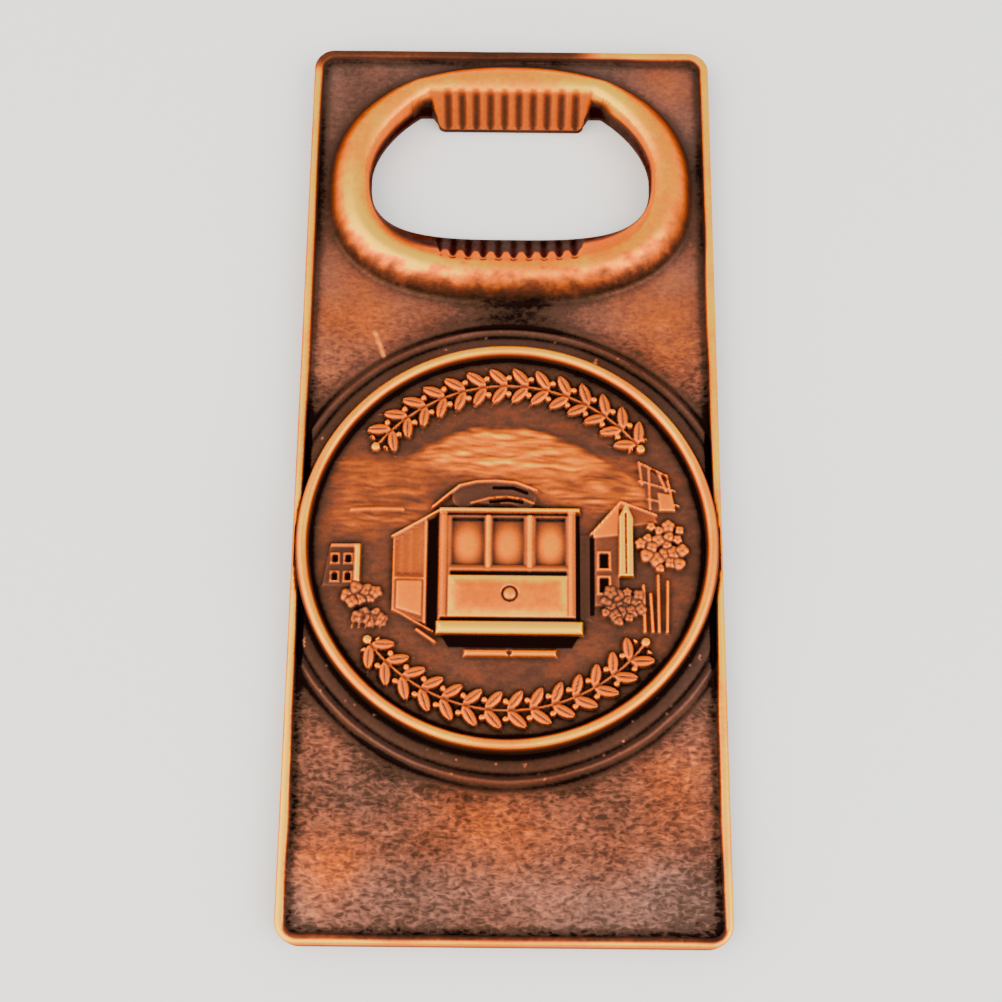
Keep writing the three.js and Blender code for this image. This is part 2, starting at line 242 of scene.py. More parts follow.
def oval_reach(oval, angle):
    """Distance from the mouth's centre to an oval outline, by halving, in each direction."""
    c, s = np.cos(angle), np.sin(angle)
    near, far = np.zeros_like(c), np.full_like(c, 60.0)
    for _ in range(34):
        middle = (near + far) / 2
        inside = inside_oval(oval, middle * c, MOUTH_Y + middle * s)
        near = np.where(inside, middle, near)
        far = np.where(inside, far, middle)
    return near


STEPS = np.linspace(-math.pi, math.pi, 2881)
OVALS = {"hole": HOLE, "edge": EDGE, "foot": FOOT}
REACH = {name: oval_reach(oval, STEPS) for name, oval in OVALS.items()}


def reach(name, angle):
    """Distance from the mouth's centre to the hole, the collar's edge or its foot, in each direction."""
    return np.interp(angle, STEPS, REACH[name], period=2 * math.pi)


def inside_polygon(points, corners):
    """Whether each point is inside a closed outline, by counting crossings."""
    x, y = points.T
    odd = np.zeros(len(x), bool)
    for (ax, ay), (bx, by) in zip(corners, np.roll(corners, -1, 0)):
        if ay != by:
            between = (ay > y) != (by > y)
            odd ^= between & (x < (bx - ax) * (y - ay) / (by - ay) + ax)
    return odd


def off_medal(points):
    """Distance from the medallion's centre."""
    return np.hypot(points[:, 0], points[:, 1] - MEDAL_Y)



# -------------------- The body's front: height and tone

# Where the field is rubbed brighter or stays darker: x, y, size, and the change in tone and in dull film.
PATCHES = (
    (-20, -48, 9, 0.15, -0.35),
    (-1, -44, 17, 0.1, -0.3),
    (20, -38, 12, 0.11, -0.22),
    (-13, -38, 9, -0.1, 0.15),
    (-20, -33, 7, 0.06, -0.1),
    (21, -51, 9, -0.11, 0.2),
    (-6, -53, 12, -0.08, 0.0),
    (22, -26, 7, 0.12, 0.3),
    (20, 51, 8, 0.15, -0.45),
    (-20, 18, 14, 0.18, -0.15),
    (19, 18, 14, 0.2, -0.3),
    (1, 20, 12, -0.16, 0.25),
)


def pebbles(x, y):
    """Leather-like skin of the casting, from -1 in its creases to 1 on its pebbles."""
    u = x + 0.5 * noise(x / 1.7, y / 1.7, 11)
    v = 1.7 * y + 0.7 * noise(x / 1.5, y / 1.5, 12)
    big = 2.1 * np.abs(noise(u / 0.95, v / 0.95, 13)) ** 0.7 - 1
    small = 2.1 * np.abs(noise(u / 0.55 + 3, v / 0.55, 14)) ** 0.8 - 1
    return 0.45 * big + 0.4 * small + 0.25 * noise(x / 2.6, y / 1.6, 17)


def ribs(x, pitch, middle, power):
    """0 on the ribs and 1 at the bottom of the grooves between them, which a high power makes narrow."""
    return (0.5 - 0.5 * np.cos(2 * math.pi * (x - middle) / pitch)) ** power


class Front:
    """Points of the body's front. Each sub-part's function changes their height z, tone and dull film."""

    def __init__(self, x, y):
        self.x, self.y = x, y
        self.inside = plate(x, y)
        self.angle = np.arctan2(y - MOUTH_Y, x)
        self.radius = np.hypot(x, y - MOUTH_Y)
        self.hole, self.edge = reach("hole", self.angle), reach("edge", self.angle)
        self.in_mouth = self.radius < self.edge
        self.opening = np.clip((self.radius - self.hole) / (self.edge - self.hole), 0, 1)
        self.share = (self.radius - self.edge) / (reach("foot", self.angle) - self.edge)
        self.off = np.hypot(x, y - MEDAL_Y)
        self.bead_r = BEAD_R + 0.05 * noise(x / 4, y / 4, 36)
        self.lower = smooth(26, 4, y)
        self.grain = pebbles(x, y)


def field(f):
    """The sunk field, with leather-like skin on it away from the boss and the collar."""
    x, y = f.x, f.y
    f.skin = smooth(0.62, 1.0, f.share + 0.12 * noise(x / 2.2, y / 2.2, 21))
    f.skin = f.skin * smooth(f.bead_r + 0.6, f.bead_r + 2.0, f.off)
    f.z = PLATE_T + 0.05 * noise(x / 5, y / 5, 33) + (0.03 + 0.08 * f.lower) * f.grain * f.skin
    f.tone = 0.41 + 0.08 * fractal(x / 5, y / 5, 61, 2) + (0.04 + 0.08 * f.lower) * f.grain * f.skin
    f.tone -= 0.16 * bell(f.off, f.bead_r + 1.2, 1.4)
    f.dull = 0.45 + 0.4 * smooth(34, 42, y) + 0.4 * smooth(-45, -51, y)
    f.dull += 0.25 * fractal(x / 6, y / 6, 65, 2)
    for cx, cy, size, more_tone, more_dull in PATCHES:
        near = smooth(1, 0, np.hypot(x - cx, y - cy) / size)
        f.tone += more_tone * near
        f.dull += more_dull * near


def scratch(f):
    """A pale scratch between the collar and the boss."""
    line = stroke(f.x, f.y, 0.5, (-16.3, 16.6), (-15.1, 13.6))
    f.tone += (0.95 - f.tone) * smooth(-0.1, 0.15, line)
    f.z -= 0.06 * smooth(-0.1, 0.2, line)


def boss(f):
    """The boss with its bead between two grooves. All stop short of the side rims."""
    side = HALF_W - RIM_WIDTH - SIDE_GROOVE
    clear = smooth(side + 0.15, side - 0.1, np.abs(f.x))
    bead = np.clip(1 - ((f.off - f.bead_r) / BEAD_HALF) ** 2, 0, 1)
    on_boss = smooth(f.bead_r + 0.25, f.bead_r - 0.15, f.off)
    groove = bell(f.off, f.bead_r - 0.85, 0.3) + bell(f.off, f.bead_r + 0.68, 0.26)
    f.z += ((SEAT_Z - f.z) * on_boss + 0.22 * bead - 0.16 * groove) * clear
    f.z -= 0.25 * on_boss * (1 - clear)
    f.tone += ((0.22 - f.tone) * smooth(0.2, 0.8, on_boss) + 0.04 * bead) * clear
    f.tone -= 0.2 * on_boss * (1 - clear) + 0.13 * groove * clear
    # Painted glints: sparse bright specks on the seat.
    f.tone += 0.5 * on_boss * clear * smooth(0.86, 0.95, noise(f.x / 0.55, f.y / 0.55, 37))


def collar(f):
    """The round-backed ring about the mouth, whose outer slope runs out into the field."""
    x, y, share = f.x, f.y, f.share
    fall = np.clip((share - CREST_AT) / (1 - CREST_AT), 0, 1.4)
    rise = 1 - EDGE_DROP / COLLAR_RISE * np.clip(1 - share / CREST_AT, 0, 1) ** 2 - fall**2
    dents = 0.05 * np.maximum(noise(x / 3.1, y / 3.1, 35), 0) * smooth(0.0, 0.4, share)
    rough = 0.07 * f.grain * smooth(0.4, 0.8, share) * smooth(32, 24, y)
    level = PLATE_T + COLLAR_RISE * rise - dents + rough
    f.on_collar = smooth(-0.2, 0.5, level - f.z)
    f.z = soft_max(f.z, level, 0.9)

    # It is polished down to a ragged line, and a painted highlight is added at its upper right and lower
    # left; the collar's tone and the wall's carry both.
    low_half = smooth(34, 24, y)
    f.ragged = share - 0.08 + 0.2 * low_half
    f.ragged += (0.08 + 0.24 * low_half) * fractal(x / 1.3, y / 0.8, 62, 3)
    painted_highlight = bell(f.angle, 0.75, 0.28) * smooth(0.75, 0.1, share)
    painted_highlight += 1.3 * bell(f.angle, -2.5, 0.4) * smooth(0.0, 0.3, share) * smooth(0.85, 0.5, share)
    f.buffed = 0.81 - 0.22 * smooth(0.45, 0.75, f.ragged) - 0.28 * smooth(0.65, 1.05, f.ragged)
    f.buffed += 0.18 * painted_highlight + 0.03 * noise(x / 4, y / 4, 63) + 0.03 * fractal(x / 0.9, y / 0.9, 66, 2)
    f.tone += (f.buffed - f.tone) * f.on_collar


def rim(f):
    """The rim round the plate, worn bright all round except at the left of its top."""
    x, y, inside = f.x, f.y, f.inside
    line = RIM_WIDTH + 0.09 * noise(x / 6, y / 6, 31)
    f.on_rim = smooth(line + 0.26, line - 0.2, inside)
    f.z += (RIM_Z - 0.05 * smooth(-1, 1, noise(x / 3, y / 3, 34)) - f.z) * f.on_rim
    worn = 0.9 + 0.06 * noise(x / 4, y / 4, 64) - 0.68 * smooth(52, 54.2, y) * smooth(12, 7, x)
    worn += 0.07 * smooth(10, -30, y) * smooth(0, -20, x)
    worn_line = line - 0.4 * smooth(-53, -54.4, y)
    f.tone -= 0.16 * smooth(line + 1.5, line + 0.1, inside)
    f.tone += (worn - f.tone) * smooth(worn_line, worn_line - 0.3, inside)
    past_edge = 1 - np.clip(inside / 0.5, 0, 1)
    f.z -= EDGE_BREAK * (1 - np.sqrt(1 - past_edge**2))


def mouth_wall(f):
    """The mouth's wall, with the lip's ribbed ramp sunk into it, both darkened by painted shade in places.
    """
    x, opening = f.x, f.opening
    f.on_ramp = smooth(0, 0.25, LIP_HALF - 0.9 * opening - np.abs(x)) * (f.y < MOUTH_Y)
    straight = np.clip(WALL_SLOPE * (f.edge - f.hole) / (EDGE_Z - LIP_T), 0, 1)
    straight += (1 - straight) * f.on_ramp
    rounded = 1 - (1 - opening) ** 1.4
    wall = LIP_T + (EDGE_Z - LIP_T) * (straight * opening + (1 - straight) * rounded)
    # Painted shadow: the wall darkens up from the hole's edge, reaching furthest at the lower left and a
    # little further on the right.
    shadow = 0.45 + 0.5 * bell(f.angle, -2.5, 0.55) + 0.15 * bell(f.angle, 0, 0.7)
    wall_tone = f.buffed + 0.07 - 0.1 * (1 - opening) - 0.75 * smooth(shadow, shadow - 0.25, opening)
    groove = ribs(x, LIP_PITCH, LIP_MIDDLE - LIP_PITCH / 2, 1.8)
    beyond = np.maximum(f.share, 0)
    cut = f.on_ramp * smooth(0.0, 0.3, opening) * smooth(0.16, 0.03, beyond)
    f.z = np.where(f.in_mouth, wall, f.z) - (0.15 + 0.55 * groove) * cut
    f.tone = np.where(f.in_mouth, wall_tone, f.tone)
    # Painted shade on the lip's ramp below its bright teeth, lighter on its ribs than in its grooves.
    bright_from = 0.98 - 0.26 * (1 - groove) ** 2
    shaded = f.on_ramp * f.in_mouth * smooth(bright_from, bright_from - 0.14, opening)
    f.tone += (0.05 + 0.08 * (1 - groove) - f.tone) * shaded
    f.tone -= 0.45 * groove * f.on_ramp * (1 - f.in_mouth) * smooth(0.14, 0.02, beyond)


def tongue(f):
    """A ribbed slope from the collar's edge down into the mouth, with a dark notch on each side of it."""
    x, y = f.x, f.y
    upper = y > MOUTH_Y
    along = (EDGE_TOP - y) / (EDGE_TOP - TONGUE_TIP_Y)
    half_width = TONGUE_TIP + (TONGUE_ROOT - TONGUE_TIP) * (y - TONGUE_TIP_Y) / (HOLE_TOP - TONGUE_TIP_Y)
    side = half_width - np.abs(x)
    slope = EDGE_Z - (EDGE_Z - LIP_T) * along - 0.3 * smooth(0.35, 0.0, side) ** 2
    on_tongue = smooth(-0.12, 0.06, side) * (along > 0) * upper
    f.z += (slope - f.z) * on_tongue
    groove = ribs(x, TONGUE_PITCH, TONGUE_MIDDLE, 1.2) * smooth(9.1, 8.7, np.abs(x - TONGUE_MIDDLE))
    cut = groove * upper * smooth(-0.14, 0.12, along)
    f.z -= GROOVE_DEPTH * cut * smooth(1.04, 0.86, along)
    f.tone += (0.7 - f.tone) * on_tongue * smooth(-0.1, 0.15, along)
    f.tone -= 0.44 * cut * smooth(1.15, 0.9, along)
    # The notch beside each side of the tongue is darkened: patina in the recess, and painted shadow of the
    # tongue.
    notch = f.in_mouth & (side < 0) & (y > HOLE_TOP - 3)
    shade = 0.85 * smooth(13.2, 11.2, np.abs(x)) * smooth(0.85, 0.5, f.opening)
    f.tone = np.where(notch, f.tone * (1 - shade), f.tone)


def pocket(f):
    """Room under the medallion's edge, where it crosses the side rims."""
    under = smooth(MEDAL_R + 0.34, MEDAL_R + 0.24, f.off)
    f.z += (np.minimum(f.z, SEAT_Z) - f.z) * under
    # The seat darkens round the medallion's foot: patina, and painted shade under its edge.
    f.tone -= 0.25 * smooth(MEDAL_R + 0.9, MEDAL_R + 0.3, f.off)


def body_front(x, y):
    """Height of the body's front, and its layers: tone, leather-like skin, dull film, and the wall."""
    f = Front(x, y)
    for sub_part in (field, scratch, boss, collar, rim, mouth_wall, tongue, pocket):
        sub_part(f)
    f.z += 0.01 * fractal(x / 0.7, y / 0.7, 41) * (1 - f.skin) * (1 - f.on_ramp)
    skin = np.maximum(f.skin, smooth(0.5, 0.8, f.ragged) * smooth(32, 24, y) * f.on_collar)
    layers = {
        "tone": f.tone,
        "skin": skin * (0.25 + 0.75 * f.lower) * (1 - f.on_rim) * (f.off > f.bead_r),
        "dull": np.clip(f.dull, 0, 1) * (1 - f.on_collar) * (1 - f.on_rim) * (f.radius > f.edge),
        "wall": f.in_mouth * 1.0,
    }
    return f.z, layers


# -------------------- The medallion's front: height and tone. Its picture is measured from its centre.


class Relief:
    """A height above the medallion's field and a tone, over points x and y from its centre."""

    def __init__(self, x, y):
        self.x, self.y = x, y
        self.z = 0.02 * fractal(x / 0.8, y / 0.8, 71)
        self.tone = 0.37 + 0.08 * fractal(x / 3, y / 1.6, 72) + 0.06 * fractal(x / 0.9, y / 0.4, 70)

    def lay(self, inside, level, tone, edge=0.24):
        """Brings what is inside a shape to a level and a tone."""
        share = smooth(-edge / 2, edge / 2, inside)
        self.z += (level - self.z) * share
        self.tone += (tone - self.tone) * share

    def bar(self, level, tone, x0, x1, y0, y1, crown=0.0):
        """A rectangle, rounded off towards its edges by the crown."""
        inside = slab(self.x, self.y, x0, x1, y0, y1)
        half = min(x1 - x0, y1 - y0) / 2
        round_off = crown * (1 - np.clip(inside / half, 0, 1)) ** 2
        self.lay(inside, level - round_off, tone - 0.3 * round_off)

    def line(self, level, tone, width, *points):
        """A round-backed line through the points."""
        inside = stroke(self.x, self.y, width, *points)
        self.lay(inside, level - 0.12 * (1 - np.clip(2 * inside / width, 0, 1)) ** 2, tone, 0.16)

    def border(self, level, tone, width, x0, x1, y0, y1):
        """A raised edge round a rectangle."""
        inside = slab(self.x, self.y, x0, x1, y0, y1)
        self.lay(np.minimum(inside, width - inside), level, tone, 0.16)

    def shape(self, level, tone, *corners):
        """A convex shape, whose corners are given anticlockwise."""
        self.lay(convex(self.x, self.y, *corners), level, tone)


def sky(r):
    """Streaks of cloud over the tram, and fainter ones on both sides."""
    x, y = r.x, r.y
    top = 14.9 - 4.6 * (np.abs(x + 0.5) / 12.5) ** 1.7 + 0.4 * noise(x / 2, y / 0.5, 73)
    dome = smooth(0, 1.3, top - y) * smooth(5.0, 8.0, y + 0.25 * x) * smooth(17.5, 13.5, np.abs(x - 1.0))
    left = smooth(-1.0, 3.0, y) * smooth(11.5, 9.0, y) * smooth(-22.0, -18.0, x) * smooth(-6.5, -11.0, x)
    right = smooth(4.5, 6.5, y) * smooth(11.5, 9.0, y) * smooth(18.0, 14.0, x) * smooth(7.0, 11.0, x)
    waver = y + 0.25 * noise(x / 2.5, y / 1.5, 74)
    streak = 0.8 * noise(x / 2.6, waver / 0.42, 75) + 0.5 * noise(x / 1.3 + waver, waver / 0.27, 76)
    core = smooth(13, 6, np.abs(x - 1.0)) * smooth(7.2, 9.4, y)
    mask = np.maximum(dome, 0.6 * np.maximum(left, right))
    r.z += mask * (0.22 + 0.1 * streak)
    r.tone += mask * (0.25 + 0.15 * core + 0.15 * streak)
    r.line(0.34, 0.62, 0.5, (-18.0, 3.8), (-15.0, 3.95), (-12.2, 3.9))


def tram_roof(r):
    """The raised roof over the tram's front."""
    r.lay(stroke(r.x, r.y, 2.6, (-5.2, 5.4), (-3.6, 5.9), (0.6, 5.9), (2.0, 5.3)), 0.3, 0.3)
    ridge = ((-8.6, 4.2), (-6.9, 5.7), (-5.6, 6.8), (-3.6, 7.3), (-1.4, 7.4), (1.0, 7.2), (3.3, 6.3))
    r.line(0.62, 0.66, 0.38, *ridge)
    r.line(0.5, 0.55, 0.3, (-4.2, 4.7), (-2.2, 5.3), (-0.2, 5.5), (1.8, 5.2), (3.0, 4.7))
    r.line(0.12, 0.02, 0.34, (-1.6, 6.6), (0.6, 6.6), (2.2, 6.0))
    r.line(0.1, 0.03, 0.3, (-2.0, 4.85), (0.0, 5.1), (1.7, 4.85))


def tram_side(r):
    """The tram's side in perspective, with its windows over a panel."""
    r.shape(0.34, 0.46, (-13.1, -8.3), (-9.2, -9.8), (-9.2, 3.0), (-13.1, 0.5))
    for x0, x1 in ((-12.75, -12.15), (-11.85, -11.1), (-10.8, -9.9)):
        top = 0.2 + 0.62 * (x1 + 12.75)
        r.shape(0.16, 0.66, (x0, -3.9), (x1, -3.9), (x1, top), (x0, top - 0.3))
    r.shape(0.46, 0.8, (-12.6, -7.9), (-9.75, -8.8), (-9.75, -4.7), (-12.6, -4.7))
    r.line(0.5, 0.66, 0.26, (-12.9, -4.35), (-9.5, -4.4))
    r.line(0.6, 0.72, 0.34, (-13.2, 0.6), (-7.9, 3.75))
    r.line(0.5, 0.62, 0.3, (-13.0, -8.1), (-13.0, 0.3))
    r.line(0.56, 0.7, 0.34, (-9.35, -9.6), (-9.35, 2.4))
    r.shape(0.02, 0.04, (-9.1, -10.1), (-8.05, -10.6), (-8.05, 3.1), (-9.1, 2.5))
    r.line(0.4, 0.58, 0.3, (-12.7, -8.1), (-10.6, -9.4), (-8.4, -10.6))
    r.line(0.45, 0.6, 0.42, (-10.2, -10.4), (-8.2, -11.8))


def tram_front(r):
    """The tram's front: posts, three windows, a crowned panel with a round lamp, and the bumper."""
    # Shadowed end beyond the front, with its post.
    r.bar(0.2, 0.22, 7.9, 9.6, -9.2, 1.0)
    r.bar(0.02, 0.03, 7.6, 8.3, -9.2, 3.2)
    r.bar(0.06, 0.04, 9.5, 10.0, -8.6, 0.6)

    # Front wall with its windows and posts.
    r.bar(0.56, 0.52, -7.9, 7.9, -9.3, 3.9)
    r.bar(0.66, 0.62, -7.8, -6.8, -9.3, 3.6, 0.3)
    for x0, x1 in ((-6.45, -2.6), (-1.75, 1.95), (3.2, 6.75)):
        inside = slab(r.x, r.y, x0, x1, -2.85, 3.0)
        middle = np.hypot((r.x - (x0 + x1) / 2) / 2.2, (r.y + 0.3) / 3.2)
        r.lay(inside, 0.22 + 0.14 * smooth(1.0, 0.2, middle), 0.42 + 0.44 * smooth(1.1, 0.25, middle))
        r.bar(0.16, 0.24, x0, x1, 2.5, 3.05)
        r.border(0.5, 0.4, 0.2, x0 - 0.1, x1 + 0.1, -2.95, 3.1)
    for x in (-2.2, 2.58):
        r.bar(0.74, 0.76, x - 0.34, x + 0.34, -3.9, 3.7, 0.25)
    r.bar(0.74, 0.7, 6.95, 7.6, -9.2, 3.6, 0.25)
    r.bar(0.66, 0.55, -6.6, 6.9, -3.5, -3.1)
    r.bar(0.34, 0.12, -6.5, 6.8, -4.0, -3.55)

    # Panel, lamp, bumper and the edge of the roof.
    inside = slab(r.x, r.y, -6.7, 6.9, -8.9, -4.05)
    border = smooth(1.3, 0.3, np.minimum(inside, r.y + 9.9))
    mottled = 0.07 * fractal(r.x / 0.7, r.y / 0.7, 77, 2)
    r.lay(inside, 0.6 + 0.12 * smooth(0, 1.6, inside) + 0.04 * mottled, 0.76 + 0.2 * border + mottled)
    lamp = np.hypot(r.x - 0.3, r.y + 6.2)
    r.lay(0.95 - lamp, 0.52, 0.25, 0.2)
    r.lay(0.72 - lamp, 0.86 - 0.3 * lamp**2, 0.74, 0.2)
    r.bar(0.26, 0.12, -7.6, 8.0, -9.4, -9.02)
    r.bar(0.92, 0.95, -8.1, 8.7, -11.0, -9.35, 0.35)
    r.bar(0.9, 0.78, -7.9, 8.4, 3.45, 4.1, 0.25)
    r.bar(0.3, 0.12, -6.9, 6.9, 3.2, 3.42)


def tram_underside(r):
    """The dark gap under the tram, with the lifeguard bar below it."""
    r.shape(0.0, 0.0, (-6.6, -12.4), (7.4, -12.4), (8.2, -11.05), (-7.4, -11.05))
    r.bar(0.5, 0.7, -4.9, 5.7, -13.5, -12.6, 0.3)
    r.lay(0.3 - np.hypot(r.x - 0.3, r.y + 13.0), 0.2, 0.2)


def left_house(r):
    """A house with four windows at the left edge."""
    r.shape(0.2, 0.3, (-21.2, -5.4), (-17.2, -5.4), (-17.2, -0.4), (-20.4, -0.4))
    r.bar(0.42, 0.62, -20.3, -17.0, -0.75, -0.3)
    r.bar(0.52, 0.84, -17.6, -16.8, -5.6, -0.3, 0.2)
    for x0 in (-20.3, -18.8):
        for y0 in (-2.8, -4.95):
            r.border(0.4, 0.6, 0.22, x0, x0 + 1.1, y0, y0 + 1.35)
            r.bar(0.06, 0.1, x0 + 0.3, x0 + 0.85, y0 + 0.3, y0 + 1.05)


def right_house(r):
    """A house with a lit gable, a bright corner post and a roof running back."""
    r.shape(0.3, 0.42, (9.9, -7.5), (12.9, -7.5), (12.9, 4.9), (9.9, 1.4))
    r.shape(0.42, 0.78, (9.9, 0.6), (12.7, 0.9), (12.9, 4.6), (9.9, 1.4))
    r.line(0.52, 0.7, 0.3, (9.6, 1.0), (13.1, 5.0), (17.2, 3.4))
    r.shape(0.3, 0.5, (14.3, 2.0), (17.3, 2.6), (17.0, 3.4), (14.2, 4.4))
    for y0 in (-3.3, -6.2):
        r.border(0.5, 0.66, 0.26, 10.3, 11.9, y0, y0 + 2.3)
        r.bar(0.1, 0.1, 10.65, 11.55, y0 + 0.35, y0 + 1.95)
    r.shape(0.62, 0.95, (12.8, -4.0), (14.5, -4.0), (14.5, 3.0), (13.7, 4.9), (12.9, 3.2))
    r.line(0.4, 0.5, 0.2, (13.65, -3.6), (13.65, 3.6))


def tower(r):
    """A lattice tower on the hill at the right."""
    r.shape(0.22, 0.4, (16.3, 3.9), (19.4, 3.9), (19.0, 7.2), (15.4, 9.9))
    rails = ((15.2, 9.9, 18.6, 8.2), (15.3, 7.6, 19.4, 6.4), (16.3, 5.4, 19.8, 4.6))
    posts = ((15.3, 9.9, 15.6, 7.2), (16.4, 9.3, 16.5, 4.2), (18.5, 8.3, 19.3, 4.0), (17.5, 8.7, 18.4, 6.4))
    for x0, y0, x1, y1 in rails:
        r.line(0.44, 0.62, 0.26, (x0, y0), (x1, y1))
    for x0, y0, x1, y1 in posts:
        r.line(0.46, 0.64, 0.3, (x0, y0), (x1, y1))
    r.shape(0.42, 0.72, (17.6, 3.9), (19.2, 3.9), (18.9, 5.9), (17.4, 6.2))


# Heaps of tufts: how many, middle, half width and height, tone, and seed.
HEAPS = (
    (19, 17.9, -0.2, 2.7, 3.1, 0.66, 81),
    (17, 13.1, -7.4, 2.5, 2.0, 0.5, 82),
    (9, -16.8, -6.4, 2.0, 1.0, 0.58, 83),
    (6, -15.6, -8.9, 1.6, 0.8, 0.5, 84),
)


def tuft(r, cx, cy, size, tone, number):
    """A lobed tuft of leaves. Its number sets how many lobes it has and how they are turned."""
    lobes = np.cos((3 + number % 3) * np.arctan2(r.y - cy, r.x - cx) + number)
    away = np.hypot(r.x - cx, r.y - cy) * (1.0 - 0.07 * lobes)
    curl = 0.14 * smooth(0.3, 0.0, away / size)
    dome = 0.24 + 0.3 * np.sqrt(np.clip(1 - (away / size) ** 2, 0, 1)) - curl
    tuft_tone = tone + 0.1 * lobes - 0.3 * smooth(0.5, 1.0, away / size) - 1.6 * curl
    r.lay(size - away, dome, tuft_tone, 0.16)


def greenery(r):
    """A tree, a bush and two shrubs, with posts under the tree and blades of grass at the left."""
    for x0, top, lean in ((15.6, -5.0, 0.1), (17.3, -3.8, 0.0), (18.4, -4.5, -0.15), (16.4, -6.0, 0.2)):
        r.line(0.42, 0.66, 0.42, (x0 + lean, -10.4), (x0, top))
    for count, cx, cy, half_w, half_h, tone, seed in HEAPS:
        order = np.arange(count)
        turn = order * 2.399
        far = np.sqrt((order + 0.5) / count)
        sizes = 0.56 + 0.34 * hashed(order, order, seed)
        across, up = cx + half_w * far * np.cos(turn), cy + half_h * far * np.sin(turn)
        for number in range(count):
            tuft(r, across[number], up[number], sizes[number], tone, number)
    for k in range(5):
        r.line(0.3, 0.5, 0.2, (-17.6 + 0.8 * k, -10.2), (-17.2 + 0.9 * k, -8.8 + 0.5 * (k % 2)))


def garland(r, radius, middle, half_span, pairs):
    """Pairs of leaves along an arc, with a berry between each pair and the next."""
    turn = np.arctan2(r.y, r.x) - middle
    turn = (turn + math.pi) % (2 * math.pi) - math.pi
    off = np.hypot(r.x, r.y) - radius
    pitch = 2 * half_span * radius / pairs
    along = turn * radius
    cell = (along / pitch) % 1.0 * pitch
    within = half_span * radius - np.abs(along)

    # Leaves, in a frame whose u runs along the leaf and whose v runs across it.
    lean, length, half_width = math.radians(47), 2.75, 0.68
    from_start, from_stem = cell - 0.2, np.abs(off) - 0.1
    u = from_start * math.cos(lean) + from_stem * math.sin(lean)
    v = from_stem * math.cos(lean) - from_start * math.sin(lean)
    way = np.clip(u / length, 0, 1)
    half = half_width * np.sqrt(np.clip(4 * way * (1 - way), 0, 1)) ** 1.2
    crown = 0.34 + 0.34 * np.sqrt(np.clip(1 - (v / np.maximum(half, 0.05)) ** 2, 0, 1))
    vein = smooth(0.13, 0.0, np.abs(v)) * smooth(0.1, 0.25, way)
    leaf_tone = 0.58 - 0.3 * vein - 0.12 * smooth(0.0, 0.5, np.abs(v) / half_width - 0.5)
    r.lay(np.minimum(half - np.abs(v), within), crown - 0.16 * vein, leaf_tone, 0.12)

    # Stem, berries, and a knob at each end.
    r.lay(np.minimum(0.17 - np.abs(off), within), 0.42, 0.5, 0.14)
    berry = np.hypot(cell - pitch * 0.98, np.abs(off) - 1.02)
    berry = np.minimum(berry, np.hypot(cell + pitch * 0.02, np.abs(off) - 1.02))
    r.lay(np.minimum(0.36 - berry, within), 0.62 - berry**2, 0.7, 0.12)
    for end in (-1, 1):
        knob = np.hypot(along - end * (half_span * radius + 0.5), off)
        r.lay(0.55 - knob, 0.7 - 0.5 * knob**2, 0.75, 0.14)


# The picture's sub-parts, from the back to the front.
PICTURE = (sky, left_house, right_house, tower, greenery, tram_roof, tram_side, tram_front, tram_underside)


def medal_front(x, y):
    """Height of the medallion's front, and its layers: tone and dull film."""
    r = Relief(x, y - MEDAL_Y)
    for sub_part in PICTURE:
        sub_part(r)
    garland(r, 19.3, math.pi / 2, math.radians(52), 14)
    garland(r, 19.6, -math.pi / 2, math.radians(52), 14)
    away = np.hypot(r.x, r.y)
    across = (away - MEDAL_R + RING_WIDTH / 2) / (RING_WIDTH / 2)
    on_ring = across > -1
    dent = 0.03 * noise(x / 3, y / 3, 78) + 0.02 * noise(x / 1.1, y / 1.1, 79)
    ring = (RING_RISE + dent) * (1 - np.clip(np.abs(across), 0, 1) ** 2.4) ** 0.6
    # Down both flanks the ring darkens: patina in its inner corner, and painted shade on its outer side.
    ring_tone = 0.93 + 0.05 * noise(x / 4, y / 4, 80) - 0.8 * smooth(0.45, 1.0, np.abs(across))
    tone = r.tone - 0.15 * smooth(MEDAL_R - RING_WIDTH - 1.1, MEDAL_R - RING_WIDTH - 0.1, away)
    tone = np.where(on_ring, ring_tone, tone)
    z = MEDAL_FIELD + np.where(on_ring, ring, r.z)
    return z, {"tone": tone, "dull": np.where(on_ring, 0, 0.35 * smooth(0.5, 0.3, tone))}


# -------------------- Wear: raised details lose their patina and hollows keep it


def wear(front, points, low, high, step, scales):
    """The change of tone at points that stand above or below what is round them, read off a grid.

    Each scale is how wide "round them" is, a gain, and the least and the greatest change.
    """
    xs, ys = np.arange(low[0], high[0], step), np.arange(low[1], high[1], step)
    x, y = np.meshgrid(xs, ys)
    z = front(x.ravel(), y.ravel())[0].reshape(x.shape)
    wave = np.fft.rfft2(z)
    fy, fx = np.fft.fftfreq(len(ys), step)[:, None], np.fft.rfftfreq(len(xs), step)[None, :]
    u, v = ((points - low) / step).T
    i, j = np.clip(u.astype(int), 0, len(xs) - 2), np.clip(v.astype(int), 0, len(ys) - 2)
    fu, fv = np.clip(u - i, 0, 1), np.clip(v - j, 0, 1)
    change = np.zeros(len(points))
    for width, gain, least, most in scales:
        spread = np.exp(-2 * (math.pi * width) ** 2 * (fx**2 + fy**2))
        above = z - np.fft.irfft2(wave * spread, z.shape)
        upper = above[j, i] * (1 - fu) + above[j, i + 1] * fu
        lower = above[j + 1, i] * (1 - fu) + above[j + 1, i + 1] * fu
        change += np.clip(gain * (upper * (1 - fv) + lower * fv), least, most)
    return change


# -------------------- Mesh building


